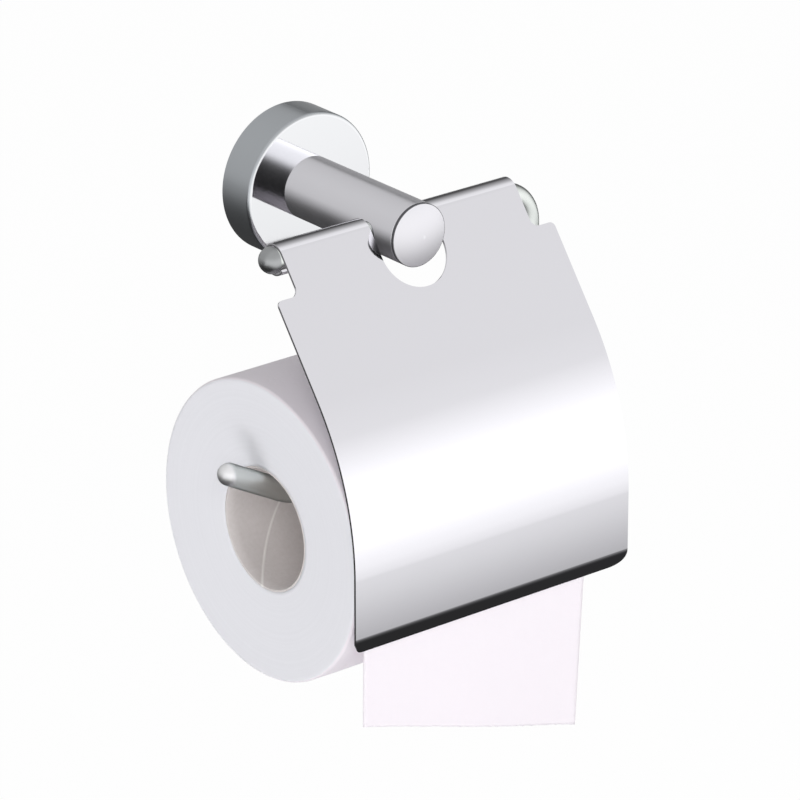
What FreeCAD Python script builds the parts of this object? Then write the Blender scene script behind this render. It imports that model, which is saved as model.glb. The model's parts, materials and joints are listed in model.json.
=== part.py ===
"""Toilet paper holder for a wall: a round post, a J-shaped arm and a hinged cover over the roll.

A parametric FreeCAD document in millimetres. The wall is the plane y = 0, the holder stands out
towards -Y, +Z is up and the arm runs along X. The origin is the middle of the wall bracket's back.
The driving sizes are the cells of the document's spreadsheet, and every feature is bound to them.
"""
import FreeCAD, Part

import math
import os
import re

import Sketcher

SHEET = "Dimensions"

DIMENSIONS = {
    # Escutcheon: the round cup against the wall
    "escutcheon_radius": 27.0,
    "escutcheon_depth": 15.0,
    "escutcheon_wall": 2.5,
    "escutcheon_round": 1.4,
    # Wall bracket: the dished disc that the cup slides over
    "bracket_gap": 0.3,
    "bracket_depth": 8.0,
    "bracket_floor": 3.0,
    "bracket_rim": 4.7,
    "groove_setback": 4.8,
    "groove_half_width": 2.2,
    "groove_depth": 1.7,
    "wall_hole_radius": 3.3,
    "wall_hole_offset": 14.0,
    # Post and its domed end cap
    "post_radius": 11.35,
    "post_length": 58.8,
    "post_edge": 0.3,
    "cap_gap": 0.05,
    "cap_rim": 1.0,
    "cap_rise": 2.6,
    "cap_spigot_radius": 8.0,
    "cap_spigot_length": 4.5,
    # Fasteners at the post's root
    "bolt_radius": 3.0,
    "bolt_depth": 14.0,
    "bolt_head_radius": 5.77,
    "bolt_head_height": 4.0,
    "washer_radius": 6.0,
    "washer_thickness": 1.2,
    "spring_washer_radius": 5.5,
    "spring_washer_thickness": 1.6,
    "spring_washer_slit": 0.8,
    "pin_radius": 1.0,
    "pin_offset": 8.4,
    "pin_length": 7.0,
    "thread_gap": 0.05,
    "bolt_clearance": 0.2,
    "washer_clearance": 0.1,
    "hole_spare": 1.0,
    # Set screws (M4, hexagon socket)
    "grub_radius": 2.0,
    "grub_socket_radius": 1.15,
    "grub_socket_depth": 2.0,
    "grub_inset": 0.4,
    # Arm: one bent rod that carries the hinge above and the roll below
    "rod_radius": 4.0,
    "rod_gap": 0.06,
    "arm_setback": 60.5,
    "arm_below_post": 0.75,
    "arm_left": 51.6,
    "arm_reach": 60.4,
    "arm_drop": 80.0,
    "bend_radius": 12.4,
    "cradle_angle": 4.8,
    "cradle_end": 38.0,
    "tip_bend_radius": 20.0,
    "tip_angle": 28.0,
    "tip_length": 25.2,
    "stud_radius": 2.0,
    "stud_length": 3.6,
    "knob_radius": 4.8,
    "knob_land": 0.3,
    # Cover: one bent sheet, curled round the arm at its top edge
    "sheet": 0.9,
    "curl_radius": 5.7,
    "curl_wrap": 290.0,
    "curl_half_width": 51.25,
    "cover_slope": 37.0,
    "cover_reach": 55.5,
    "cover_half_width": 60.5,
    "cover_belly_drop": 97.25,
    "lip_drop": 118.2,
    "lip_radius": 9.4,
    "lip_angle": 50.0,
    "lip_corner": 6.3,
    "step_distance": 15.2,
    "step_inner_round": 3.0,
    "step_outer_round": 2.0,
    "notch_half_width": 13.4,
    "notch_distance": 11.1,
    # Hinge sleeves inside the curl
    "sleeve_length": 34.0,
    "sleeve_gap": 0.02,
    # Roll and the sheet that hangs from it
    "roll_radius": 54.2,
    "roll_width": 102.2,
    "roll_left": 58.6,
    "roll_drop": 98.5,
    "core_radius": 21.6,
    "core_board": 0.8,
    "core_inset": 2.4,
    "wound_gap": 0.05,
    "tail_thickness": 0.35,
    "tail_clearance": 0.3,
    "tail_setback": 111.5,
    "tail_leave_angle": 11.0,
    "tail_turn_angle": 16.0,
    "tail_turn_radius": 20.0,
    "tail_left": 53.7,
    "tail_width": 97.9,
    "tail_left_drop": 155.2,
    "tail_right_drop": 183.6,
    "tail_right_taper": 2.4,
}

# Sizes that follow from the driving dimensions
CUP_INNER_RADIUS = "(escutcheon_radius - escutcheon_wall)"
BRACKET_RADIUS = f"({CUP_INNER_RADIUS} - bracket_gap)"
GROOVE_RADIUS = f"({BRACKET_RADIUS} - groove_depth)"
CUP_FLOOR = "(escutcheon_depth - escutcheon_wall)"
BOLT_STACK = "(washer_thickness + spring_washer_thickness)"
DOME_RADIUS = "((post_radius ^ 2 + cap_rise ^ 2) / (2 * cap_rise))"
BELLY_RADIUS = ("((curl_radius - cover_reach * cos(cover_slope) + cover_belly_drop * sin(cover_slope))"
                " / (1 - cos(cover_slope)))")
LIP_BOTTOM = "(lip_drop + lip_radius * sin(lip_angle))"
TAIL_PATH_RADIUS = "(roll_radius + tail_clearance + tail_thickness / 2)"

CLOCKWISE = -1
COUNTER_CLOCKWISE = 1
CUT_MARGIN = "1"
TINY = 1e-6
ALIAS = re.compile(r"[a-z_]+")
FULL_TURN = 360.0

document = FreeCAD.newDocument("PaperHolder")
sheet = document.addObject("Spreadsheet::Sheet", SHEET)


def fill_sheet():
    """Write every driving dimension into the spreadsheet: its name, its number and its alias."""
    for row, (alias, number) in enumerate(DIMENSIONS.items(), start=1):
        sheet.set(f"A{row}", alias)
        sheet.set(f"B{row}", str(number))
        sheet.setAlias(f"B{row}", alias)
    document.recompute()


def bound(formula):
    """Return a formula of dimension names as an expression that any object can be bound to."""
    return ALIAS.sub(lambda word: f"{SHEET}.{word[0]}" if word[0] in DIMENSIONS else word[0], formula)


def value(formula):
    """Return the number that a formula of dimension names gives."""
    return float(sheet.evalExpression(formula))


def bind(target, **formulas):
    """Bind properties of an object to formulas of dimension names."""
    for name, formula in formulas.items():
        target.setExpression(name, bound(formula))


def place(target, x="0", y="0", z="0"):
    """Bind the position of a finished piece."""
    for axis, formula in zip("xyz", (x, y, z)):
        target.setExpression(f"Placement.Base.{axis}", bound(formula))
    return target


class SketchPen:
    """Draws fully dimensioned outlines in one sketch of a body."""

    def __init__(self, body, plane, offset="0", tilt="0"):
        origin_plane = next(item for item in body.Origin.OriginFeatures if item.Role == plane)
        self.sketch = body.newObject("Sketcher::SketchObject", "Sketch")
        self.sketch.AttachmentSupport = [(origin_plane, "")]
        self.sketch.MapMode = "FlatFace"
        self.sketch.AttachmentOffset = FreeCAD.Placement(
            FreeCAD.Vector(), FreeCAD.Rotation(FreeCAD.Vector(1, 0, 0), value(tilt)))
        self.sketch.setExpression("AttachmentOffset.Base.z", bound(offset))

    def rule(self, kind, *references, formula=None):
        """Add a constraint, bound to a formula where it has a size."""
        if formula is None:
            self.sketch.addConstraint(Sketcher.Constraint(kind, *references))
            return
        index = self.sketch.addConstraint(Sketcher.Constraint(kind, *references, value(formula)))
        self.sketch.setExpression(f"Constraints[{index}]", bound(formula))

    def pin_along(self, kind, edge, end, formula):
        """Hold one coordinate of a point of an edge."""
        if abs(value(formula)) < TINY:
            self.rule("PointOnObject", edge, end, -2 if kind == "DistanceX" else -1)
        else:
            self.rule(kind, -1, 1, edge, end, formula=formula)

    def pin_point(self, edge, end, x, y):
        """Hold one point of an edge at x and y from the sketch's origin."""
        self.pin_along("DistanceX", edge, end, x)
        self.pin_along("DistanceY", edge, end, y)

    def circle(self, x, y, radius):
        """Draw a circle about x and y."""
        circle = Part.Circle(point_at((x, y)), FreeCAD.Vector(0, 0, 1), value(radius))
        edge = self.sketch.addGeometry(circle)
        self.pin_point(edge, 3, x, y)
        self.rule("Radius", edge, formula=radius)
        return self

    def edge(self, start, end):
        """Draw one edge of an outline and return its number, first end and last end."""
        if len(start) == 2:
            return self.sketch.addGeometry(Part.LineSegment(point_at(start), point_at(end))), 1, 2
        centre, turn = point_at(start[2]), start[3]
        angles = [math.atan2(point.y - centre.y, point.x - centre.x)
                  for point in (point_at(start), point_at(end))[::turn]]
        if angles[1] <= angles[0]:
            angles[1] += math.tau
        circle = Part.Circle(centre, FreeCAD.Vector(0, 0, 1), centre.distanceToPoint(point_at(start)))
        edge = self.sketch.addGeometry(Part.ArcOfCircle(circle, *angles))
        chord = point_at(end) - point_at(start)
        if abs(chord.x) >= abs(chord.y):
            self.pin_along("DistanceY", edge, 3, start[2][1])
        else:
            self.pin_along("DistanceX", edge, 3, start[2][0])
        return (edge, 1, 2) if turn == COUNTER_CLOCKWISE else (edge, 2, 1)

    def outline(self, *points, closed=True):
        """Draw edges through points given as pairs of formulas.

        A point that also names a centre and a turn starts an arc instead of a straight edge.
        """
        spans = list(zip(points, points[1:] + points[:1] if closed else points[1:]))
        edges = [self.edge(start, end) for start, end in spans]
        following = edges[1:] + edges[:1] if closed else edges[1:]
        for (edge, _, last), (next_edge, first, _) in zip(edges, following):
            self.rule("Coincident", edge, last, next_edge, first)
        for (edge, first, _), start in zip(edges, points):
            self.pin_point(edge, first, start[0], start[1])
        if not closed:
            edge, _, last = edges[-1]
            self.pin_point(edge, last, points[-1][0], points[-1][1])
        return self


def point_at(formulas):
    """Return the point that a pair of formulas gives."""
    return FreeCAD.Vector(value(formulas[0]), value(formulas[1]), 0)


def polar(radius, angle, centre=("0", "0")):
    """Return formulas for the point at a radius and an angle about a centre."""
    return f"({centre[0]} + {radius} * cos({angle}))", f"({centre[1]} + {radius} * sin({angle}))"


def new_body(label):
    """Start a PartDesign body whose label is its node name."""
    body = document.addObject("PartDesign::Body", label)
    body.Label = label
    return body


def new_primitive(kind, label, **formulas):
    """Make a Part primitive bound to the sheet."""
    primitive = document.addObject(f"Part::{kind}", label)
    primitive.Label = label
    bind(primitive, **formulas)
    return primitive


def new_boolean(kind, label, base, tool):
    """Join or cut two Part objects."""
    boolean = document.addObject(f"Part::{kind}", label)
    boolean.Label = label
    boolean.Base = base
    boolean.Tool = tool
    return boolean


def volume(body):
    """Return a body's volume after bringing the document up to date."""
    document.recompute()
    return body.Shape.Volume


def pad(body, pen, length, reverse=False, symmetric=False):
    """Raise a sketch into a solid."""
    feature = body.newObject("PartDesign::Pad", "Pad")
    feature.Profile = pen.sketch
    feature.Reversed = reverse
    if symmetric:
        feature.SideType = "Symmetric"
    bind(feature, Length=length)
    document.recompute()
    return feature


def pocket(body, pen, length=None, reverse=False):
    """Cut a sketch out of a body: a stated depth one way, or through everything both ways."""
    before = volume(body)
    feature = body.newObject("PartDesign::Pocket", "Pocket")
    feature.Profile = pen.sketch
    feature.Reversed = reverse
    if length is None:
        feature.SideType = "Two sides"
        feature.Type = "ThroughAll"
        feature.Type2 = "ThroughAll"
    else:
        bind(feature, Length=length)
    if volume(body) >= before:
        raise ValueError(f"a pocket of {body.Label} removes nothing")
    return feature


def revolve(body, pen, axis="H_Axis"):
    """Turn a half section about one axis of its own sketch."""
    feature = body.newObject("PartDesign::Revolution", "Revolution")
    feature.Profile = pen.sketch
    feature.ReferenceAxis = (pen.sketch, [axis])
    feature.Angle = FULL_TURN
    document.recompute()
    return feature


def round_edges(body, radius, chosen):
    """Round the edges of a body that the test function picks."""
    base = body.Tip
    names = [f"Edge{index}" for index, edge in enumerate(base.Shape.Edges, start=1) if chosen(edge)]
    feature = body.newObject("PartDesign::Fillet", "Fillet")
    feature.Base = (base, names)
    bind(feature, Radius=radius)
    document.recompute()
    return feature


def make_wall_bracket():
    """Dished disc screwed to the wall, with a groove round its rim for the set screw."""
    body = new_body("wall_bracket")
    revolve(body, SketchPen(body, "YZ_Plane").outline(
        ("0", "0"),
        ("0", BRACKET_RADIUS),
        ("groove_half_width - groove_setback", BRACKET_RADIUS),
        ("groove_half_width - groove_setback", GROOVE_RADIUS),
        ("-groove_half_width - groove_setback", GROOVE_RADIUS),
        ("-groove_half_width - groove_setback", BRACKET_RADIUS),
        ("-bracket_depth", BRACKET_RADIUS),
        ("-bracket_depth", f"{BRACKET_RADIUS} - bracket_rim"),
        ("-bracket_floor", f"{BRACKET_RADIUS} - bracket_rim"),
        ("-bracket_floor", "0"),
    ))
    holes = SketchPen(body, "XZ_Plane")
    for side in ("", "-"):
        holes.circle("0", f"{side}wall_hole_offset", "wall_hole_radius")
    pocket(body, holes)
    return body


def make_escutcheon():
    """Round cup over the bracket, bored for the post's bolt and pin and tapped for the set screw."""
    body = new_body("escutcheon")
    revolve(body, SketchPen(body, "YZ_Plane").outline(
        ("0", CUP_INNER_RADIUS),
        ("0", "escutcheon_radius"),
        ("-escutcheon_depth", "escutcheon_radius"),
        ("-escutcheon_depth", "0"),
        (f"-{CUP_FLOOR}", "0"),
        (f"-{CUP_FLOOR}", CUP_INNER_RADIUS),
    ))
    front = -value("escutcheon_depth")
    rim = value("escutcheon_radius")
    round_edges(body, "escutcheon_round", lambda edge: is_circle(edge, rim) and on_level(edge, front))
    holes = SketchPen(body, "XZ_Plane")
    holes.circle("0", "0", "bolt_radius + bolt_clearance")
    holes.circle("0", "pin_offset", "pin_radius + thread_gap")
    pocket(body, holes)
    tapped = SketchPen(body, "XY_Plane")
    tapped.circle("0", "-groove_setback", "grub_radius + thread_gap")
    pocket(body, tapped, f"escutcheon_radius + {CUT_MARGIN}")
    return body


def is_circle(edge, radius):
    """Tell whether an edge is a circle of the given radius."""
    return isinstance(edge.Curve, Part.Circle) and abs(edge.Curve.Radius - radius) < TINY


def on_level(edge, depth):
    """Tell whether an edge lies at the given distance along Y."""
    box = edge.BoundBox
    return abs(box.YMin - depth) < TINY and abs(box.YMax - depth) < TINY


def make_post():
    """Round bar from the escutcheon to the cap, cross-bored for the arm."""
    body = new_body("post")
    place(body, y="-escutcheon_depth")
    pad(body, SketchPen(body, "XZ_Plane").circle("0", "0", "post_radius"), "post_length")
    front = -value("post_length")
    round_edges(body, "post_edge", lambda edge: on_level(edge, front))
    pocket(body, SketchPen(body, "XZ_Plane").circle("0", "0", "bolt_radius + thread_gap"),
           "bolt_depth", reverse=True)
    pin_hole = SketchPen(body, "XZ_Plane").circle("0", "pin_offset", "pin_radius + thread_gap")
    pocket(body, pin_hole, "pin_length", reverse=True)
    recess = SketchPen(body, "XZ_Plane", offset="post_length")
    recess.circle("0", "0", "cap_spigot_radius + cap_gap")
    pocket(body, recess, "cap_spigot_length + cap_gap")
    arm_y = "escutcheon_depth - arm_setback"
    pocket(body, SketchPen(body, "YZ_Plane").circle(arm_y, "-arm_below_post", "rod_radius + rod_gap"))
    tapped = SketchPen(body, "XY_Plane").circle("0", arm_y, "grub_radius + thread_gap")
    pocket(body, tapped, f"post_radius + {CUT_MARGIN}")
    return body


def make_post_end_cap():
    """Domed plug pressed into the front end of the post."""
    body = new_body("post_end_cap")
    place(body, y="-escutcheon_depth - post_length")
    revolve(body, SketchPen(body, "YZ_Plane").outline(
        ("-cap_rim - cap_rise", "0"),
        ("cap_spigot_length", "0"),
        ("cap_spigot_length", "cap_spigot_radius"),
        ("0", "cap_spigot_radius"),
        ("0", "post_radius"),
        ("-cap_rim", "post_radius", (f"{DOME_RADIUS} - cap_rim - cap_rise", "0"), COUNTER_CLOCKWISE),
    ))
    return body


def aim_forward(piece):
    """Turn a piece made along +Z so that it points away from the wall, along -Y."""
    piece.Placement = FreeCAD.Placement(
        FreeCAD.Vector(), FreeCAD.Rotation(FreeCAD.Vector(1, 0, 0), 90))
    return piece


def make_post_bolt():
    """Hexagon bolt that pulls the post against the escutcheon from inside the cup."""
    head = new_primitive("Prism", "bolt_head", Circumradius="bolt_head_radius", Height="bolt_head_height")
    length = f"bolt_head_height + {BOLT_STACK} + escutcheon_wall + bolt_depth - hole_spare"
    shank = new_primitive("Cylinder", "bolt_shank", Radius="bolt_radius", Height=length)
    bolt = aim_forward(new_boolean("Fuse", "post_bolt", head, shank))
    return place(bolt, y=f"{BOLT_STACK} + bolt_head_height - {CUP_FLOOR}")


def make_ring(label, radius, bore_radius, height):
    """Flat ring made along +Z."""
    disc = new_primitive("Cylinder", f"{label}_disc", Radius=radius, Height=height)
    bore = new_primitive("Cylinder", f"{label}_bore", Radius=bore_radius, Height=height)
    return new_boolean("Cut", label, disc, bore)


def make_post_washer():
    """Flat washer against the inside of the escutcheon."""
    washer = make_ring("post_washer", "washer_radius", "bolt_radius + bolt_clearance", "washer_thickness")
    return place(aim_forward(washer), y=f"washer_thickness - {CUP_FLOOR}")


def make_post_spring_washer():
    """Split spring washer between the flat washer and the bolt head."""
    ring = make_ring("spring_ring", "spring_washer_radius", "bolt_radius + washer_clearance",
                     "spring_washer_thickness")
    slit = new_primitive("Box", "spring_slit", Length="spring_washer_radius", Width="spring_washer_slit",
                         Height="spring_washer_thickness")
    washer = aim_forward(new_boolean("Cut", "post_spring_washer", ring, slit))
    return place(washer, y=f"{BOLT_STACK} - {CUP_FLOOR}")


def make_post_locating_pin():
    """Pin that keeps the post from turning on the escutcheon."""
    pin = new_primitive("Cylinder", "post_locating_pin", Radius="pin_radius",
                        Height="escutcheon_wall + pin_length - hole_spare")
    return place(aim_forward(pin), y=f"-{CUP_FLOOR}", z="pin_offset")


def make_set_screw(label, length, y, z):
    """Socket set screw that stands upright, its socket facing down."""
    shank = new_primitive("Cylinder", f"{label}_shank", Radius="grub_radius", Height=length)
    socket = new_primitive("Prism", f"{label}_socket", Circumradius="grub_socket_radius",
                           Height="grub_socket_depth")
    return place(new_boolean("Cut", label, shank, socket), y=y, z=z)


def make_escutcheon_set_screw():
    """Set screw through the cup's underside into the bracket's groove."""
    length = f"escutcheon_radius - grub_inset - {GROOVE_RADIUS} - thread_gap"
    return make_set_screw("escutcheon_set_screw", length, "-groove_setback", "grub_inset - escutcheon_radius")


def make_arm_lock_screw():
    """Set screw through the post's underside against the arm."""
    length = "post_radius - grub_inset - rod_radius - arm_below_post"
    return make_set_screw("arm_lock_screw", length, "-arm_setback", "grub_inset - post_radius")


def make_arm_rod():
    """Rod bent into a J: upper run through the post, down one side, then the roll's cradle.

    The lower run falls slightly away from the leg, so that it and the raised tip hold the roll.
    """
    body = new_body("arm_rod")
    place(body, y="-arm_setback", z="-arm_below_post")
    bend_x = "(arm_reach - bend_radius)"
    lower_centre = (bend_x, "(bend_radius - arm_drop)")
    cradle_start = polar("bend_radius", "(270 + cradle_angle)", lower_centre)
    cradle_length = f"(({cradle_start[0]} + cradle_end) / cos(cradle_angle))"
    cradle_low = polar(cradle_length, "(180 + cradle_angle)", cradle_start)
    tip_centre = polar("tip_bend_radius", "(90 + cradle_angle)", cradle_low)
    tip_start = polar("tip_bend_radius", "(270 - tip_angle)", tip_centre)
    tip_end = polar("tip_length", "(180 - tip_angle)", tip_start)
    path = SketchPen(body, "XZ_Plane").outline(
        ("-arm_left", "0"),
        (bend_x, "0", (bend_x, "-bend_radius"), CLOCKWISE),
        ("arm_reach", "-bend_radius"),
        ("arm_reach", lower_centre[1], lower_centre, CLOCKWISE),
        cradle_start,
        (*cradle_low, tip_centre, CLOCKWISE),
        tip_start,
        tip_end,
        closed=False,
    )
    section = SketchPen(body, "YZ_Plane", offset="-arm_left").circle("0", "0", "rod_radius")
    sweep = body.newObject("PartDesign::AdditivePipe", "Sweep")
    sweep.Profile = section.sketch
    sweep.Spine = (path.sketch, [f"Edge{number}" for number in range(1, path.sketch.GeometryCount + 1)])
    document.recompute()
    tip_ball = body.newObject("PartDesign::AdditiveSphere", "TipBall")
    bind(tip_ball, Radius="rod_radius")
    place(tip_ball, x=tip_end[0], z=tip_end[1])
    stud = SketchPen(body, "YZ_Plane", offset="-arm_left").circle("0", "0", "stud_radius")
    pad(body, stud, "stud_length", reverse=True)
    return body


def make_arm_end_knob():
    """Round-nosed knob screwed on the arm's left end, which keeps the cover on."""
    body = new_body("arm_end_knob")
    place(body, x="-arm_left", y="-arm_setback", z="-arm_below_post")
    bore = "stud_radius + thread_gap"
    depth = "-stud_length - thread_gap"
    revolve(body, SketchPen(body, "XZ_Plane").outline(
        ("0", "knob_radius"),
        ("0", bore),
        (depth, bore),
        (depth, "0"),
        ("-knob_land - knob_radius", "0", ("-knob_land", "0"), CLOCKWISE),
        ("-knob_land", "knob_radius"),
    ))
    return body


def cover_face(depth):
    """Return one face of the bent cover sheet, from the curl's free end to the lip's edge."""
    slope = "(180 - cover_slope)"
    curl = f"(curl_radius - {depth})"
    belly = f"({BELLY_RADIUS} - {depth})"
    lip = f"(lip_radius - {depth})"
    belly_centre = (f"({BELLY_RADIUS} - cover_reach)", "-cover_belly_drop")
    lip_centre = ("(lip_radius - cover_reach)", "-lip_drop")
    return [
        (*polar(curl, "(180 - cover_slope - curl_wrap)"), ("0", "0"), COUNTER_CLOCKWISE),
        polar(curl, slope),
        (*polar(belly, slope, belly_centre), belly_centre, COUNTER_CLOCKWISE),
        (f"{depth} - cover_reach", "-cover_belly_drop"),
        (f"{depth} - cover_reach", "-lip_drop", lip_centre, COUNTER_CLOCKWISE),
        polar(lip, "(180 + lip_angle)", lip_centre),
    ]


def reverse_face(points):
    """Return an outline's points in the opposite order, each arc turned the other way."""
    turned = []
    for index in reversed(range(len(points))):
        arc = points[index - 1][2:] if index else ()
        turned.append((*points[index][:2], *((arc[0], -arc[1]) if arc else ())))
    return turned


def lip_corner_outline(side):
    """Return the waste outside one rounded lower corner; side is "" or "-"."""
    edge = f"{side}cover_half_width"
    inset = f"{side}(cover_half_width - lip_corner)"
    outside = f"{side}(cover_half_width + {CUT_MARGIN})"
    top = f"lip_corner - {LIP_BOTTOM}"
    turn = CLOCKWISE if side else COUNTER_CLOCKWISE
    return (
        (edge, top),
        (outside, top),
        (outside, f"-{LIP_BOTTOM} - {CUT_MARGIN}"),
        (inset, f"-{LIP_BOTTOM} - {CUT_MARGIN}"),
        (inset, f"-{LIP_BOTTOM}", (inset, top), turn),
    )


def make_cover_flap():
    """Cover sheet: curled top edge, notch for the post, narrower shoulders and an inturned lip."""
    body = new_body("cover_flap")
    place(body, y="-arm_setback", z="-arm_below_post")
    profile = SketchPen(body, "YZ_Plane")
    profile.outline(*cover_face("0"), *reverse_face(cover_face("sheet")))
    pad(body, profile, "2 * cover_half_width", symmetric=True)
    above = f"curl_radius + {CUT_MARGIN}"
    notch = SketchPen(body, "XZ_Plane", tilt="-cover_slope").outline(
        ("-notch_half_width", above),
        ("-notch_half_width", "-notch_distance", ("0", "-notch_distance"), COUNTER_CLOCKWISE),
        ("notch_half_width", "-notch_distance"),
        ("notch_half_width", above),
    )
    pocket(body, notch)
    shoulders = SketchPen(body, "XZ_Plane", tilt="-cover_slope")
    corners = SketchPen(body, "XZ_Plane")
    for side in ("", "-"):
        shoulders.outline(
            (f"{side}curl_half_width", above),
            (f"{side}curl_half_width", "-step_distance"),
            (f"{side}(cover_half_width + {CUT_MARGIN})", "-step_distance"),
            (f"{side}(cover_half_width + {CUT_MARGIN})", above),
        )
        corners.outline(*lip_corner_outline(side))
    pocket(body, shoulders)
    pocket(body, corners)
    round_edges(body, "step_inner_round", lambda edge: is_step_edge(edge, value("curl_half_width")))
    round_edges(body, "step_outer_round", lambda edge: is_step_edge(edge, value("cover_half_width")))
    return body


def is_step_edge(edge, half_width):
    """Tell whether an edge runs through the sheet at a corner of the cover's shoulder step."""
    down_slope = FreeCAD.Vector(0, -value("sin(cover_slope)"), -value("cos(cover_slope)"))
    box = edge.BoundBox
    on_side = abs(abs(box.Center.x) - half_width) < TINY and box.XLength < TINY
    on_step = abs(box.Center.dot(down_slope) - value("step_distance")) < TINY
    return on_side and on_step and edge.Length < value("sheet") * 2


def make_cover_sleeve(label, start):
    """Nylon sleeve that turns on the arm inside one half of the curl."""
    sleeve = make_ring(label, "curl_radius - sheet - sleeve_gap", "rod_radius + rod_gap", "sleeve_length")
    sleeve.Placement = FreeCAD.Placement(FreeCAD.Vector(), FreeCAD.Rotation(FreeCAD.Vector(0, 1, 0), 90))
    return place(sleeve, x=start, y="-arm_setback", z="-arm_below_post")


def make_paper_roll():
    """Wound paper: a tube whose left end is dished towards the core."""
    body = new_body("paper_roll")
    place(body, x="-roll_left", y="-arm_setback", z="-roll_drop")
    bore = "(core_radius + core_board + wound_gap)"
    revolve(body, SketchPen(body, "XZ_Plane").outline(
        ("core_inset", bore),
        ("0", "roll_radius"),
        ("roll_width", "roll_radius"),
        ("roll_width", bore),
    ))
    return body


def make_cardboard_core():
    """Board tube that the paper is wound on."""
    body = new_body("cardboard_core")
    place(body, x="core_inset - roll_left", y="-arm_setback", z="-roll_drop")
    rings = SketchPen(body, "YZ_Plane").circle("0", "0", "core_radius")
    pad(body, rings.circle("0", "0", "core_radius + core_board"), "roll_width - core_inset")
    return body


def tail_face(depth):
    """Return one face of the hanging sheet: off the roll, a slight turn, then straight down."""
    roll_centre = ("-arm_setback", "-roll_drop")
    path = f"({TAIL_PATH_RADIUS} + {depth})"
    turn = f"(tail_turn_radius - {depth})"
    leave_y = f"(-arm_setback - {TAIL_PATH_RADIUS} * cos(tail_turn_angle))"
    turn_y = "(-tail_setback - tail_turn_radius * (1 - cos(tail_turn_angle)))"
    fall = f"(({turn_y} - {leave_y}) / tan(tail_turn_angle))"
    turn_z = (f"(-roll_drop - {TAIL_PATH_RADIUS} * sin(tail_turn_angle) - {fall}"
              " - tail_turn_radius * sin(tail_turn_angle))")
    turn_centre = ("(-tail_setback - tail_turn_radius)", turn_z)
    return [
        (*polar(path, "(180 + tail_leave_angle)", roll_centre), roll_centre, COUNTER_CLOCKWISE),
        polar(path, "(180 + tail_turn_angle)", roll_centre),
        (*polar(turn, "tail_turn_angle", turn_centre), turn_centre, CLOCKWISE),
        (f"-tail_setback - {depth}", turn_z),
        (f"-tail_setback - {depth}", f"-tail_right_drop - {CUT_MARGIN}"),
    ]


def make_paper_tail():
    """Free end of the paper, hanging between the roll and the cover, torn off aslant."""
    body = new_body("paper_tail")
    place(body, x="-tail_left")
    profile = SketchPen(body, "YZ_Plane")
    profile.outline(*tail_face("tail_thickness / 2"), *reverse_face(tail_face("-tail_thickness / 2")))
    pad(body, profile, "tail_width")
    below = f"-tail_right_drop - 2 * {CUT_MARGIN}"
    waste = SketchPen(body, "XZ_Plane").outline(
        ("0", "-tail_left_drop"),
        ("tail_width - tail_right_taper", "-tail_right_drop"),
        ("tail_width", f"-{LIP_BOTTOM}"),
        (f"tail_width + {CUT_MARGIN}", f"-{LIP_BOTTOM}"),
        (f"tail_width + {CUT_MARGIN}", below),
        (f"-{CUT_MARGIN}", below),
        (f"-{CUT_MARGIN}", "-tail_left_drop"),
    )
    pocket(body, waste)
    return body


def build_pieces():
    """Build every piece of the holder and return them."""
    return [
        make_wall_bracket(),
        make_escutcheon(),
        make_escutcheon_set_screw(),
        make_post(),
        make_post_bolt(),
        make_post_washer(),
        make_post_spring_washer(),
        make_post_locating_pin(),
        make_post_end_cap(),
        make_arm_rod(),
        make_arm_lock_screw(),
        make_arm_end_knob(),
        make_cover_flap(),
        make_cover_sleeve("cover_sleeve_left", "-notch_half_width - sleeve_length"),
        make_cover_sleeve("cover_sleeve_right", "notch_half_width"),
        make_paper_roll(),
        make_cardboard_core(),
        make_paper_tail(),
    ]


def check_document(pieces):
    """Stop if any object failed or any piece is not one valid solid."""
    failed = [item.Name for item in document.Objects if {"Invalid", "Error"} & set(item.State)]
    if failed:
        raise RuntimeError(f"objects that did not recompute: {failed}")
    for piece in pieces:
        shape = piece.Shape
        if shape.isNull() or not shape.isValid() or len(shape.Solids) != 1:
            raise RuntimeError(f"{piece.Label} is not one valid solid")


def main():
    """Build the holder, check it and write one STEP file for each piece."""
    fill_sheet()
    pieces = build_pieces()
    document.recompute()
    check_document(pieces)
    os.makedirs("parts", exist_ok=True)
    for piece in pieces:
        piece.Shape.exportStep(f"parts/{piece.Label}.step")


main()
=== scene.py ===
"""Finished looks of the wall-mounted toilet paper holder.

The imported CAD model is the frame. Each class below stands for one sub-assembly: it holds the sizes
that its finer pieces need, models them over their CAD nodes and gives each the finish of the real one.
Sizes are in millimetres and angles in degrees, unless a docstring says otherwise.
"""

import json
import logging
import math
import random
from dataclasses import dataclass
from enum import Enum
from typing import Any

import bmesh
import bpy
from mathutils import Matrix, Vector, noise


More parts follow.
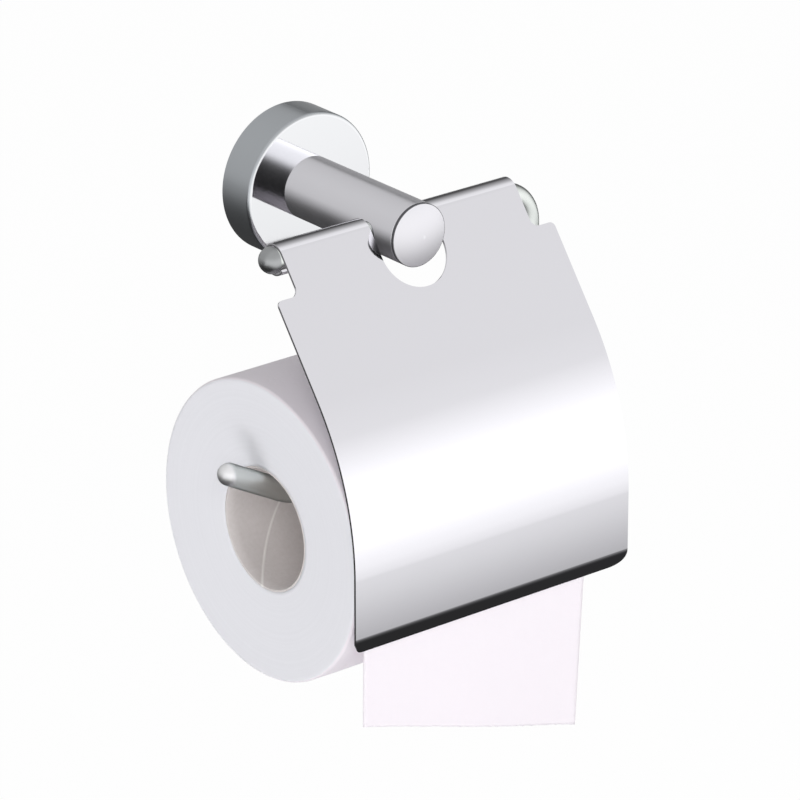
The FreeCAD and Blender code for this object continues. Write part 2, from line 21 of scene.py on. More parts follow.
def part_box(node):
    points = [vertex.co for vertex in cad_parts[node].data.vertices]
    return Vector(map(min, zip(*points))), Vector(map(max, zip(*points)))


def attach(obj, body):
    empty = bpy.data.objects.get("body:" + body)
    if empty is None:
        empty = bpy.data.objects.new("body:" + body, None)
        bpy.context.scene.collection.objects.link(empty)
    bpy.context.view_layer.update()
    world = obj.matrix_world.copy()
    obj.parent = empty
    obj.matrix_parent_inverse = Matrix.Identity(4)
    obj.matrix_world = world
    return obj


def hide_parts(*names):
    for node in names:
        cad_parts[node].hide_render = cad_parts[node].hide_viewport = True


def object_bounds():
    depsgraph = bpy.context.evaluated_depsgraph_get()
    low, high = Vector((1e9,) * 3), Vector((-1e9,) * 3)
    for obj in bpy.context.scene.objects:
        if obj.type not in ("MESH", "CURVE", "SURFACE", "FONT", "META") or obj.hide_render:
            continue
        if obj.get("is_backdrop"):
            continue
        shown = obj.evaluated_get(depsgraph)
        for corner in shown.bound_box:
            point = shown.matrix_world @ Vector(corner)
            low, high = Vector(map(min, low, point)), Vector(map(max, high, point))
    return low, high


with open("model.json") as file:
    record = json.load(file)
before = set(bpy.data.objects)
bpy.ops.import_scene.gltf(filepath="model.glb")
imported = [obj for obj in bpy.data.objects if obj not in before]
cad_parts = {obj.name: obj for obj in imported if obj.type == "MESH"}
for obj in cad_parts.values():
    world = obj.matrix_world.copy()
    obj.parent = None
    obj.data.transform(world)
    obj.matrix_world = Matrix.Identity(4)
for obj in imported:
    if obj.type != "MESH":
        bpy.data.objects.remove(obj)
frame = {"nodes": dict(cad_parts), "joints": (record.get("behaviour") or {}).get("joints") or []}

LOG = logging.getLogger("paper_holder")
MM = 0.001
# Points nearer to each other, or to a cutting plane, than these are taken as one, in metres
WELD = 0.001 * MM
CUT = 0.0001 * MM
AXIS_X = Vector((1.0, 0.0, 0.0))
AXIS_Y = Vector((0.0, 1.0, 0.0))
AXIS_Z = Vector((0.0, 0.0, 1.0))

Tree = bpy.types.NodeTree
Socket = bpy.types.NodeSocket
Inputs = dict[str, Any]
Span = tuple[float, float]
Stops = tuple[tuple[float, float], ...]


class Body(Enum):
    """The rigid bodies that pieces ride on."""

    HOLDER = "holder"
    COVER = "cover"
    ROLL = "roll"


class Slot(Enum):
    """The record's material slots, passed to fit with the finer pieces."""

    CHROME = "polished_chrome"
    TISSUE = "tissue"
    BOARD = "core_board"


def linear(hex_colour: str) -> tuple[float, float, float, float]:
    """Turn an sRGB hex colour into a linear one.

    Args:
        hex_colour: Six hexadecimal digits, such as "E2E4E6".

    Returns:
        Red, green and blue as Blender's sockets take them, and an alpha of 1.
    """
    channels = [int(hex_colour[start:start + 2], 16) / 255 for start in (0, 2, 4)]
    red, green, blue = [
        channel / 12.92 if channel <= 0.04045 else ((channel + 0.055) / 1.055) ** 2.4
        for channel in channels
    ]
    return red, green, blue, 1.0


WHITE = linear("FFFFFF")
# Settings of a Map Range node that starts and ends gently
SMOOTH = {"interpolation_type": "SMOOTHSTEP"}


def add_node(
    tree: Tree, kind: str, inputs: dict[Any, Any] | None = None, **settings: Any,
) -> bpy.types.Node:
    """Add one node to a tree, with its settings and links.

    Args:
        tree: The tree that gets the node.
        kind: Blender's name of the node type, without its "ShaderNode" start.
        inputs: For each input, by name or number, its value or the output that feeds it.
        settings: Properties of the node.

    Returns:
        The new node.
    """
    node = tree.nodes.new(f"ShaderNode{kind}")
    for name, setting in settings.items():
        setattr(node, name, setting)
    for key, given in (inputs or {}).items():
        if isinstance(given, Socket):
            tree.links.new(given, node.inputs[key])
        else:
            node.inputs[key].default_value = given
    return node


def span(ends: Span) -> Inputs:
    """Return the inputs that tell a Map Range node where its range starts and ends."""
    start, end = ends
    return {"From Min": start, "From Max": end}


def grey_ramp(tree: Tree, value: Socket, ends: Span, stops: Stops) -> Socket:
    """Turn a value into a grey level.

    Args:
        tree: The tree that gets the nodes.
        value: The value.
        ends: The values at which the ramp starts and ends.
        stops: Pairs of position along the ramp and grey level, in order.

    Returns:
        The grey level.
    """
    along = add_node(tree, "MapRange", {"Value": value, **span(ends)})
    ramp = add_node(tree, "ValToRGB", {"Fac": along.outputs["Result"]})
    elements = ramp.color_ramp.elements
    while len(elements) < len(stops):
        elements.new(0.5)
    for element, (position, level) in zip(elements, stops):
        element.position = position
        element.color = (level, level, level, 1.0)
    return ramp.outputs["Color"]


def new_material(name: str) -> tuple[bpy.types.Material, Tree]:
    """Start a material with an empty node tree.

    Args:
        name: The material's name.

    Returns:
        The material and its tree.
    """
    material = bpy.data.materials.new(name)
    material.use_nodes = True
    material.node_tree.nodes.clear()
    return material, material.node_tree


class Finish:
    """A procedural finish, laid out in the piece's own coordinates."""

    name: str

    def surface(self, tree: Tree, place: Socket) -> Inputs:
        """Lay out the finish's patterns.

        Args:
            tree: The material's tree.
            place: The coordinates on the piece.

        Returns:
            The inputs of the surface's shader, by name.
        """
        raise NotImplementedError

    def material(self) -> bpy.types.Material:
        """Build the material."""
        material, tree = new_material(self.name)
        place = add_node(tree, "TexCoord").outputs["Object"]
        shader = add_node(tree, "BsdfPrincipled", self.surface(tree, place))
        add_node(tree, "OutputMaterial", {"Surface": shader.outputs["BSDF"]})
        return material


@dataclass(frozen=True)
class Grain:
    """A fine irregular relief: the size of its bumps, their height and how strongly they show."""

    size_mm: float
    detail: float
    depth_mm: float
    strength: float

    def lay(self, tree: Tree, place: Socket) -> tuple[Socket, Socket]:
        """Lay the relief over a surface.

        Args:
            tree: The material's tree.
            place: The coordinates on the piece.

        Returns:
            The relief's level, from 0 to 1, and the surface's normal with it.
        """
        relief = add_node(tree, "TexNoise", {
            "Vector": place, "Scale": 1 / (self.size_mm * MM), "Detail": self.detail,
        })
        bump = add_node(tree, "Bump", {
            "Height": relief.outputs["Fac"], "Strength": self.strength,
            "Distance": self.depth_mm * MM,
        })
        return relief.outputs["Fac"], bump.outputs["Normal"]


@dataclass(frozen=True)
class ChromePlate(Finish):
    """Chrome plate: a mirror on buffed metal, with faint waviness, or soft and broad on brushed metal."""

    name: str = "polished_chrome"
    colour: str = "EBEAEF"
    roughness: float = 0.045
    haze: float = 0.03
    waves: Grain = Grain(size_mm=14.0, detail=1.0, depth_mm=0.004, strength=1.0)
    smear_mm: float = 9.0
    smear_span: Span = (0.35, 0.7)

    def surface(self, tree: Tree, place: Socket) -> Inputs:
        """Wave the plate faintly and smear its polish."""
        normal = self.waves.lay(tree, place)[1]
        smears = add_node(tree, "TexNoise", {
            "Vector": place, "Scale": 1 / (self.smear_mm * MM), "Detail": 4.0,
        })
        polish = add_node(tree, "MapRange", {
            "Value": smears.outputs["Fac"], **span(self.smear_span),
            "To Min": self.roughness, "To Max": self.roughness + self.haze,
        })
        return {
            "Base Color": linear(self.colour), "Metallic": 1.0,
            "Roughness": polish.outputs["Result"], "Normal": normal,
        }


@dataclass(frozen=True, kw_only=True)
class RodChrome(ChromePlate):
    """Brushed chrome on a bent rod, satin on its round left end. Its colours carry painted light: a dark
    specular tint along its edges as a painted dark reflection, and a paler round end as a painted highlight.
    """

    tip_mm: float
    name: str = "rod_chrome"
    colour: str = "E0E4E1"
    # Specular tint that darkens the reflection at grazing angles: a painted dark reflection along the rod's
    # edges
    painted_dark_edge_tint: str = "34363A"
    roughness: float = 0.3
    haze: float = 0.04
    # Paler colour of the round end: a painted highlight
    tip_highlight_colour: str = "FCFCFD"
    tip_roughness: float = 0.5
    tip_blend_mm: float = 1.2

    def surface(self, tree: Tree, place: Socket) -> Inputs:
        """Lay the round end's satin finish and painted highlight over the brushed one, and darken the edges'
        reflection as painted shade.
        """
        inputs = super().surface(tree, place)
        x = add_node(tree, "SeparateXYZ", {"Vector": place}).outputs["X"]
        tip = add_node(tree, "MapRange", {
            "Value": x, "From Min": self.tip_mm * MM,
            "From Max": (self.tip_mm + self.tip_blend_mm) * MM, "To Min": 1.0, "To Max": 0.0,
        })
        rough = add_node(tree, "Mix", {
            0: tip.outputs["Result"], 2: inputs["Roughness"], 3: self.tip_roughness,
        }, data_type="FLOAT")
        colour = add_node(tree, "Mix", {
            0: tip.outputs["Result"], 6: inputs["Base Color"], 7: linear(self.tip_highlight_colour),
        }, data_type="RGBA")
        return inputs | {
            "Base Color": colour.outputs[2], "Roughness": rough.outputs[0],
            "Specular Tint": linear(self.painted_dark_edge_tint),
        }


@dataclass(frozen=True)
class DomeChrome(Finish):
    """Satin chrome on a pressed dome, with painted shade as a dark ring round its edge, where it meets the
    tube.
    """

    edge_mm: float
    name: str = "dome_chrome"
    colour: str = "F0EFF3"
    # Dark grey ring at the dome's edge: painted shade in the seam where the dome meets the tube
    seam_colour: str = "6E6E72"
    roughness: float = 0.6
    seam_mm: float = 0.3

    def surface(self, tree: Tree, place: Socket) -> Inputs:
        """Paint the ring of shade at its distance from the dome's axis, which is Y."""
        flat = add_node(tree, "VectorMath", {0: place, 1: (1.0, 0.0, 1.0)}, operation="MULTIPLY")
        radius = add_node(tree, "VectorMath", {0: flat.outputs["Vector"]}, operation="LENGTH")
        seam = add_node(tree, "MapRange", {
            "Value": radius.outputs["Value"], "From Min": (self.edge_mm - self.seam_mm) * MM,
            "From Max": (self.edge_mm - self.seam_mm / 2) * MM,
        }, **SMOOTH)
        colour = add_node(tree, "Mix", {
            0: seam.outputs["Result"], 6: linear(self.colour), 7: linear(self.seam_colour),
        }, data_type="RGBA")
        return {"Base Color": colour.outputs[2], "Metallic": 1.0, "Roughness": self.roughness}


@dataclass(frozen=True)
class DrawnChrome(Finish):
    """Chrome plate on a drawn disc: only its flat face was buffed, so its side stays satin. The side's darker
    colour is painted shade.
    """

    face_mm: float
    name: str = "drawn_chrome"
    face_colour: str = "E1E2E4"
    # Darker colour of the side: painted shade
    side_shade_colour: str = "B9BDC1"
    face_roughness: float = 0.05
    side_roughness: float = 0.3
    blend_mm: float = 0.5
    scratches: Grain = Grain(size_mm=0.6, detail=2.0, depth_mm=0.01, strength=0.05)

    def surface(self, tree: Tree, place: Socket) -> Inputs:
        """Go over from the face's finish to the side's satin finish and painted shade, with fine scratches on
        both.
        """
        y = add_node(tree, "SeparateXYZ", {"Vector": place}).outputs["Y"]
        side = add_node(tree, "MapRange", {
            "Value": y, "From Min": self.face_mm * MM,
            "From Max": (self.face_mm + self.blend_mm) * MM,
        }, **SMOOTH)
        colour = add_node(tree, "Mix", {
            0: side.outputs["Result"], 6: linear(self.face_colour), 7: linear(self.side_shade_colour),
        }, data_type="RGBA")
        polish = add_node(tree, "MapRange", {
            "Value": side.outputs["Result"],
            "To Min": self.face_roughness, "To Max": self.side_roughness,
        })
        return {
            "Base Color": colour.outputs[2], "Metallic": 1.0,
            "Roughness": polish.outputs["Result"], "Normal": self.scratches.lay(tree, place)[1],
        }


@dataclass(frozen=True)
class PlatedSteel(Finish):
    """Zinc-plated steel: satin, with the fine mottle of the plating."""

    name: str
    colour: str
    polished: float = 0.26
    dull: float = 0.42
    mottle: Grain = Grain(size_mm=0.8, detail=3.0, depth_mm=0.02, strength=0.4)

    def surface(self, tree: Tree, place: Socket) -> Inputs:
        """Mottle the plating's gloss and height."""
        level, normal = self.mottle.lay(tree, place)
        satin = add_node(tree, "MapRange", {"Value": level, "To Min": self.polished, "To Max": self.dull})
        return {
            "Base Color": linear(self.colour), "Metallic": 1.0,
            "Roughness": satin.outputs["Result"], "Normal": normal,
        }


@dataclass(frozen=True)
class MouldedNylon(Finish):
    """Moulded natural nylon: milky and slightly waxy, with a fine moulded grain."""

    name: str = "moulded_nylon"
    colour: str = "E9E7E0"
    roughness: float = 0.45
    ior: float = 1.53
    grain: Grain = Grain(size_mm=0.5, detail=2.0, depth_mm=0.02, strength=0.3)

    def surface(self, tree: Tree, place: Socket) -> Inputs:
        """Give the nylon its grain."""
        return {
            "Base Color": linear(self.colour), "Roughness": self.roughness, "IOR": self.ior,
            "Normal": self.grain.lay(tree, place)[1],
        }


@dataclass(frozen=True)
class Tissue(Finish):
    """Bleached two-ply tissue: matt and soft, with a fine crepe and small embossed dimples."""

    name: str = "tissue"
    colour: str = "F6F0F6"
    roughness: float = 0.95
    ior: float = 1.35
    sheen: float = 0.15
    sheen_roughness: float = 0.6
    crepe: Grain = Grain(size_mm=0.7, detail=4.0, depth_mm=0.12, strength=0.35)
    dimple_mm: float = 3.2
    dimple_reach: float = 0.35
    dimple_jitter: float = 0.35
    dimple_depth_mm: float = 0.12
    dimple_strength: float = 0.3

    def surface(self, tree: Tree, place: Socket) -> Inputs:
        """Lay the dimples over the crepe."""
        dimples = add_node(tree, "TexVoronoi", {
            "Vector": place, "Scale": 1 / (self.dimple_mm * MM), "Randomness": self.dimple_jitter,
        })
        pressed = add_node(tree, "MapRange", {
            "Value": dimples.outputs["Distance"], "From Max": self.dimple_reach,
        }, **SMOOTH)
        bump = add_node(tree, "Bump", {
            "Height": pressed.outputs["Result"], "Strength": self.dimple_strength,
            "Distance": self.dimple_depth_mm * MM, "Normal": self.crepe.lay(tree, place)[1],
        })
        return {
            "Base Color": linear(self.colour), "Roughness": self.roughness, "IOR": self.ior,
            "Sheen Weight": self.sheen, "Sheen Roughness": self.sheen_roughness,
            "Normal": bump.outputs["Normal"],
        }


@dataclass(frozen=True)
class WoundEdge(Finish):
    """The cut edges of the wound tissue on the roll's ends: matt, in faint rings.

    Real plies are about 0.1 mm thick, too fine to show, so the rings are drawn about ten plies apart.
    """

    axis_mm: tuple[float, float, float]
    name: str = "wound_edge"
    light: str = "F4F4F9"
    shade: str = "F2F2F7"
    roughness: float = 0.97
    ior: float = 1.35
    contrast: Span = (0.3, 0.7)
    ring_mm: float = 1.1
    ring_depth_mm: float = 0.1
    ring_strength: float = 0.08
    fibres: Grain = Grain(size_mm=0.6, detail=3.0, depth_mm=0.08, strength=0.3)

    def surface(self, tree: Tree, place: Socket) -> Inputs:
        """Draw the rings round the roll's axis, which is along X, over the fibres."""
        centred = add_node(tree, "Mapping", {
            "Vector": place, "Location": (0.0, -self.axis_mm[1] * MM, -self.axis_mm[2] * MM),
            "Scale": (0.0, 1.0, 1.0),
        })
        radius = add_node(tree, "VectorMath", {0: centred.outputs["Vector"]}, operation="LENGTH")
        rings = add_node(tree, "TexNoise", {
            "W": radius.outputs["Value"], "Scale": 1 / (self.ring_mm * MM), "Detail": 2.0,
        }, noise_dimensions="1D")
        tone = add_node(tree, "MapRange", {"Value": rings.outputs["Fac"], **span(self.contrast)})
        colour = add_node(tree, "Mix", {
            0: tone.outputs["Result"], 6: linear(self.shade), 7: linear(self.light),
        }, data_type="RGBA")
        bump = add_node(tree, "Bump", {
            "Height": rings.outputs["Fac"], "Strength": self.ring_strength,
            "Distance": self.ring_depth_mm * MM, "Normal": self.fibres.lay(tree, place)[1],
        })
        return {
            "Base Color": colour.outputs[2], "Roughness": self.roughness, "IOR": self.ior,
            "Normal": bump.outputs["Normal"],
        }


@dataclass(frozen=True)
class CoreBoard(Finish):
    """Spiral-wound grey board: recycled fibre, with the paler edge of the wound ply as a seam. Its tones are
    painted paler than grey board, as painted light for the core's shaded inside.
    """

    axis_mm: tuple[float, float, float]
    name: str = "core_board"
    # Both tones are lighter than grey board: the board's own tone with painted light added for the core's
    # shaded inside
    light: str = "E4DEDD"
    shade: str = "DED8D6"
    seam_colour: str = "FFFCF9"
    roughness: float = 0.85
    contrast: Span = (0.3, 0.7)
    fibres: Grain = Grain(size_mm=1.4, detail=6.0, depth_mm=0.06, strength=0.3)
    pitch_mm: float = 107.0
    seam_turn: float = 0.288
    seam_width: float = 0.008
    seam_depth_mm: float = 0.2
    seam_strength: float = 0.5

    def surface(self, tree: Tree, place: Socket) -> Inputs:
        """Wind the seam round the core's axis, which is along X, over the fibres."""
        centred = add_node(tree, "Mapping", {
            "Vector": place, "Location": (0.0, -self.axis_mm[1] * MM, -self.axis_mm[2] * MM),
        })
        x, y, z = add_node(tree, "SeparateXYZ", {"Vector": centred.outputs["Vector"]}).outputs
        along = add_node(tree, "Math", {0: x, 1: self.pitch_mm * MM}, operation="DIVIDE")
        turns = z
        for operation, other in (
            ("ARCTAN2", y), ("DIVIDE", math.tau),
            ("SUBTRACT", along.outputs["Value"]), ("SUBTRACT", self.seam_turn),
        ):
            turns = add_node(tree, "Math", {0: turns, 1: other}, operation=operation).outputs["Value"]
        phase = add_node(tree, "Math", {0: turns, 1: 0.5, 2: -0.5}, operation="WRAP")
        apart = add_node(tree, "Math", {0: phase.outputs["Value"]}, operation="ABSOLUTE")
        seam = add_node(tree, "MapRange", {
            "Value": apart.outputs["Value"], "From Max": self.seam_width, "To Min": 1.0, "To Max": 0.0,
        })
        level, normal = self.fibres.lay(tree, place)
        tone = add_node(tree, "MapRange", {"Value": level, **span(self.contrast)})
        board = add_node(tree, "Mix", {
            0: tone.outputs["Result"], 6: linear(self.shade), 7: linear(self.light),
        }, data_type="RGBA")
        colour = add_node(tree, "Mix", {
            0: seam.outputs["Result"], 6: board.outputs[2], 7: linear(self.seam_colour),
        }, data_type="RGBA")
        bump = add_node(tree, "Bump", {
            "Height": seam.outputs["Result"], "Strength": self.seam_strength,
            "Distance": self.seam_depth_mm * MM, "Normal": normal,
        })
        return {
            "Base Color": colour.outputs[2], "Roughness": self.roughness,
            "Normal": bump.outputs["Normal"],
        }


class Shaper:
    """One mesh under construction, shaped by bmesh operators.

    Sizes are given in millimetres in the object's own frame.
    """

    def __init__(self) -> None:
        self.mesh = bmesh.new()
        self.end: bmesh.types.BMVert | None = None

    def start(self, x: float, y: float, z: float) -> "Shaper":
        """Put down the first point of an outline."""
        self.end = self.mesh.verts.new(Vector((x, y, z)) * MM)
        return self

    def line(self, x: float, y: float, z: float) -> None:
        """Draw a straight edge from the last point to a new one."""
        made = bmesh.ops.extrude_vert_indiv(self.mesh, verts=[self.end])
        self.end = made["verts"][0]
        self.end.co = Vector((x, y, z)) * MM

    def arc(self, centre: Vector, axis: Vector, degrees: float, steps: int) -> None:
        """Draw an arc from the last point.

        Args:
            centre: The arc's centre, in millimetres.
            axis: The axis that it turns about.
            degrees: How far it turns.
            steps: The number of its edges.
        """
        made = bmesh.ops.spin(
            self.mesh, geom=[self.end], cent=centre * MM, axis=axis,
            angle=math.radians(degrees), steps=steps,
        )
        self.end = next(item for item in made["geom_last"] if isinstance(item, bmesh.types.BMVert))

    def weld(self) -> None:
        """Join the points that lie on each other."""
        bmesh.ops.remove_doubles(self.mesh, verts=self.mesh.verts, dist=WELD)

    def turn(self, centre: Vector, axis: Vector, steps: int) -> None:
        """Turn everything drawn so far once round an axis."""
        self.weld()
        bmesh.ops.spin(
            self.mesh, geom=self.mesh.verts[:] + self.mesh.edges[:], cent=centre * MM, axis=axis,
            angle=math.tau, steps=steps, use_merge=True,
        )
        self.weld()
        bmesh.ops.recalc_face_normals(self.mesh, faces=self.mesh.faces)

    def build(self, name: str, *materials: bpy.types.Material) -> bpy.types.Object:
        """Make the finished object.

        Args:
            name: The piece's name.
            materials: Its finishes, in the order of its faces' material numbers.

        Returns:
            The new object, smooth shaded, in the scene.
        """
        for face in self.mesh.faces:
            face.smooth = True
        data = bpy.data.meshes.new(name)
        self.mesh.to_mesh(data)
        self.mesh.free()
        for material in materials:
            data.materials.append(material)
        piece = bpy.data.objects.new(name, data)
        bpy.context.scene.collection.objects.link(piece)
        return piece


def fit(piece: bpy.types.Object, body: Body, slot: Slot, *nodes: str) -> bpy.types.Object:
    """Let a piece ride on its body and stand for its CAD nodes.

    Args:
        piece: The finished piece.
        body: The body that carries it.
        slot: The material slot that it takes its finish from; not used.
        nodes: The CAD nodes that it stands for.

    Returns:
        The piece.
    """
    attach(piece, body.value)
    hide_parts(*nodes)
    LOG.info("piece %s on %s stands for %s", piece.name, body.value, ", ".join(nodes))
    return piece


def dress(node: str, material: bpy.types.Material) -> None:
    """Give a carried-over CAD node its finish."""
    piece = frame["nodes"][node]
    for socket in piece.material_slots:
        socket.material = material
    LOG.info("CAD node %s finished in %s", node, material.name)


@dataclass
class Cover:
    """The cover: one sheet, cut flat to its blank, then bent. The hinge axis is its origin."""

    sheet: float = 0.9
    curl_radius: float = 5.7
    curl_wrap: float = 290.0
    curl_half_width: float = 51.25
    slope: float = 37.0
    reach: float = 55.5
    half_width: float = 60.5
    belly_drop: float = 97.25
    lip_drop: float = 118.2
    lip_radius: float = 9.4
    lip_angle: float = 50.0
    lip_corner: float = 6.3
    step_distance: float = 15.2
    step_inner_round: float = 3.0
    step_outer_round: float = 2.0
    notch_half_width: float = 13.4
    notch_distance: float = 11.1
    edge_round: float = 0.22
    edge_steps: int = 3
    edge_angle: float = 40.0
    curl_steps: int = 72
    belly_steps: int = 30
    lip_steps: int = 18
    step_steps: int = 10
    corner_steps: int = 15
    notch_steps: int = 24

    def __post_init__(self) -> None:
        """Work out where each bend starts along the blank."""
        lean = math.radians(self.slope)
        self.belly_radius = (
            (self.curl_radius - self.reach * math.cos(lean) + self.belly_drop * math.sin(lean))
            / (1 - math.cos(lean))
        )
        self.slope_start = self.at_angle(self.curl_radius, 180 - self.slope)
        self.belly_centre = Vector((self.belly_radius - self.reach, -self.belly_drop))
        belly_start = self.belly_centre + self.at_angle(self.belly_radius, 180 - self.slope)
        self.curl_end = self.curl_radius * math.radians(self.curl_wrap)
        self.slope_end = self.curl_end + (belly_start - self.slope_start).length
        self.belly_end = self.slope_end + self.belly_radius * lean
        self.flat_end = self.belly_end + self.lip_drop - self.belly_drop
        self.blank_end = self.flat_end + self.lip_radius * math.radians(self.lip_angle)

    @staticmethod
    def at_angle(radius: float, degrees: float) -> Vector:
        """Return the point at a radius and an angle, as forward-and-up coordinates."""
        return Vector((radius * math.cos(math.radians(degrees)), radius * math.sin(math.radians(degrees))))

    def bent(self, along: float) -> Vector:
        """Return where a distance along the blank lies once it is bent.

        Args:
            along: The distance from the curl's free end, in millimetres.

        Returns:
            The point's Y and Z from the hinge axis, in millimetres.
        """
        if along <= self.curl_end:
            turned = math.degrees(along / self.curl_radius)
            return self.at_angle(self.curl_radius, 180 - self.slope - self.curl_wrap + turned)
        if along <= self.slope_end:
            down = self.at_angle(along - self.curl_end, 270 - self.slope)
            return self.slope_start + down
        if along <= self.belly_end:
            turned = math.degrees((along - self.slope_end) / self.belly_radius)
            return self.belly_centre + self.at_angle(self.belly_radius, 180 - self.slope + turned)
        if along <= self.flat_end:
            return Vector((-self.reach, self.belly_end - self.belly_drop - along))
        turned = math.degrees((along - self.flat_end) / self.lip_radius)
        lip_centre = Vector((self.lip_radius - self.reach, -self.lip_drop))
        return lip_centre + self.at_angle(self.lip_radius, 180 + turned)

    def along_at_drop(self, drop: float) -> float:
        """Return the distance along the blank of a point near the lip, from its drop below the hinge."""
        if drop <= self.lip_drop:
            return self.belly_end + drop - self.belly_drop
        return self.flat_end + self.lip_radius * math.asin((drop - self.lip_drop) / self.lip_radius)

    def half_blank(self) -> Shaper:
        """Draw the right half of the blank, flat: X across it and Y along it."""
        notch_bottom = self.curl_end + self.notch_distance
        step = self.curl_end + self.step_distance
        inner, outer = self.step_inner_round, self.step_outer_round
        shaper = Shaper().start(self.notch_half_width, 0, 0)
        shaper.line(self.curl_half_width, 0, 0)
        shaper.line(self.curl_half_width, step - inner, 0)
        shaper.arc(Vector((self.curl_half_width + inner, step - inner, 0)), AXIS_Z, -90, self.step_steps)
        shaper.line(self.half_width - outer, step, 0)
        shaper.arc(Vector((self.half_width - outer, step + outer, 0)), AXIS_Z, 90, self.step_steps)
        lip_bottom = self.lip_drop + self.lip_radius * math.sin(math.radians(self.lip_angle))
        corner = Vector((self.half_width - self.lip_corner, lip_bottom - self.lip_corner))
        shaper.line(self.half_width, self.along_at_drop(corner.y), 0)
        for index in range(1, self.corner_steps + 1):
            point = corner + self.at_angle(self.lip_corner, 90 * index / self.corner_steps)
            shaper.line(point.x, self.along_at_drop(point.y), 0)
        shaper.line(0, self.blank_end, 0)
        shaper.line(0, notch_bottom + self.notch_half_width, 0)
        shaper.arc(Vector((0, notch_bottom, 0)), AXIS_Z, -90, self.notch_steps)
        shaper.weld()
        bmesh.ops.contextual_create(shaper.mesh, geom=shaper.mesh.edges[:] + shaper.mesh.verts[:])
        return shaper

    def bend_lines(self) -> list[float]:
        """Return the distances along the blank at which the bends need an edge."""
        spans = (
            (0.0, self.curl_end, self.curl_steps),
            (self.slope_end, self.belly_end, self.belly_steps),
            (self.flat_end, self.blank_end, self.lip_steps),
        )
        return [
            start + (end - start) * index / steps
            for start, end, steps in spans
            for index in range(steps + 1)
        ]

    def build(self, chrome: bpy.types.Material) -> None:
        """Cut, bend and thicken the sheet."""
        shaper = self.half_blank()
        mesh = shaper.mesh
        for along in self.bend_lines():
            bmesh.ops.bisect_plane(
                mesh, geom=mesh.verts[:] + mesh.edges[:] + mesh.faces[:], dist=CUT,
                plane_co=Vector((0, along, 0)) * MM, plane_no=AXIS_Y,
            )
        bmesh.ops.mirror(
            mesh, geom=mesh.verts[:] + mesh.edges[:] + mesh.faces[:], axis="X", merge_dist=WELD,
        )
        hinge = Vector(next(joint["pos_m"] for joint in frame["joints"] if joint["name"] == "cover_hinge"))
        for vert in mesh.verts:
            forward, up = self.bent(vert.co.y / MM) * MM
            vert.co = hinge + Vector((vert.co.x, forward, up))
        bmesh.ops.recalc_face_normals(mesh, faces=mesh.faces)
        front = max(mesh.faces, key=lambda face: face.calc_area())
        if front.normal.y > 0:
            bmesh.ops.reverse_faces(mesh, faces=mesh.faces)
        cover = shaper.build("cover_sheet", chrome)
        wall = cover.modifiers.new("wall", "SOLIDIFY")
        wall.thickness = self.sheet * MM
        wall.offset = -1.0
        wall.use_even_offset = True
        edges = cover.modifiers.new("edges", "BEVEL")
        edges.width = self.edge_round * MM
        edges.segments = self.edge_steps
        edges.limit_method = "ANGLE"
        edges.angle_limit = math.radians(self.edge_angle)
        shading = cover.modifiers.new("shading", "WEIGHTED_NORMAL")
        shading.mode = "FACE_AREA"
        shading.weight = 100
        fit(cover, Body.COVER, Slot.CHROME, "cover_flap")
        cover.visible_glossy = False


